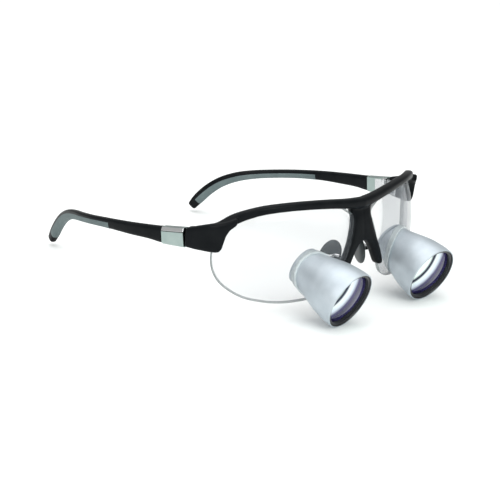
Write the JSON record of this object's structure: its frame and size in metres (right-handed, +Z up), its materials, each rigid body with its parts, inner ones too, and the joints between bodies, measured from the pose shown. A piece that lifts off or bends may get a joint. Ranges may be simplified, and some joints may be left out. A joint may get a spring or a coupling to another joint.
{
  "type": "dental loupes",
  "caption": "Through-the-lens dental loupes: tapered metal telescopes bonded into wrapped clear lenses on a black half-rim frame with folding temples and rocking nose pads.",
  "frame": {"origin": "on the floor under the middle of the object's box", "axes": "+Z up, +Y from the lenses back to the temple tips, +X to the wearer's left"},
  "size_m": [0.1484, 0.1774, 0.0519],
  "materials": {
    "clear_lens": "clear coated polycarbonate lens",
    "collar_resin": "clear bonding resin",
    "satin_silver": "fine satin anodised",
    "black_metal": "matte black anodised",
    "seal_rubber": "matte rubber",
    "coated_glass": "purple anti-reflection coated glass",
    "steel": "plain steel",
    "black_frame": "satin black moulding",
    "polished_cover": "satin face with a polished edge",
    "grey_rubber": "soft grey rubber",
    "pad_silicone": "dark translucent silicone"
  },
  "bodies": {
    "front": {"front_frame": "black_frame", "carrier_lens_left": "clear_lens", "carrier_lens_right": "clear_lens", "bonding_collar_left": "collar_resin", "bonding_collar_right": "collar_resin", "telescope_housing_left": "satin_silver", "telescope_housing_right": "satin_silver", "objective_ring_left": "black_metal", "objective_ring_right": "black_metal", "objective_seal_left": "seal_rubber", "objective_seal_right": "seal_rubber", "objective_lens_left": "coated_glass", "objective_lens_right": "coated_glass", "stop_tube_left": "black_metal", "stop_tube_right": "black_metal", "eyepiece_lens_left": "coated_glass", "eyepiece_lens_right": "coated_glass", "eyepiece_ring_left": "satin_silver", "eyepiece_ring_right": "satin_silver", "eyepiece_window_left": "coated_glass", "eyepiece_window_right": "coated_glass", "front_leaf_left": "steel", "front_leaf_right": "steel", "hinge_screw_left": "steel", "hinge_screw_right": "steel", "pad_arm_left": "steel", "pad_arm_right": "steel", "pad_screw_left": "steel", "pad_screw_right": "steel"},
    "temple_left": {"temple_leaf_left": "steel", "temple_arm_left": "black_frame", "hinge_cover_left": "polished_cover", "core_wire_left": "steel", "temple_grip_left": "grey_rubber"},
    "nose_pad_left": {"nose_pad_left": "pad_silicone", "pad_insert_left": "steel"},
    "temple_right": {"temple_leaf_right": "steel", "temple_arm_right": "black_frame", "hinge_cover_right": "polished_cover", "core_wire_right": "steel", "temple_grip_right": "grey_rubber"},
    "nose_pad_right": {"nose_pad_right": "pad_silicone", "pad_insert_right": "steel"}
  },
  "joints": [
    {"name": "temple_fold_left", "type": "hinge", "parent": "front", "child": "temple_left", "pos_m": [0.067, -0.0251, 0.0348], "axis": [0, 0.1045, 0.9945], "range_deg": [0, 90]},
    {"name": "temple_fold_right", "type": "hinge", "parent": "front", "child": "temple_right", "pos_m": [-0.067, -0.0251, 0.0348], "axis": [0, -0.1045, -0.9945], "range_deg": [0, 76]},
    {"name": "pad_rock_left", "type": "hinge", "parent": "front", "child": "nose_pad_left", "pos_m": [0.01295, -0.05678, 0.02278], "axis": [0.4067, 0.9135, 0], "range_deg": [-10, 10]},
    {"name": "pad_rock_right", "type": "hinge", "parent": "front", "child": "nose_pad_right", "pos_m": [-0.01295, -0.05678, 0.02278], "axis": [-0.4067, 0.9135, 0], "range_deg": [-10, 10]}
  ]
}
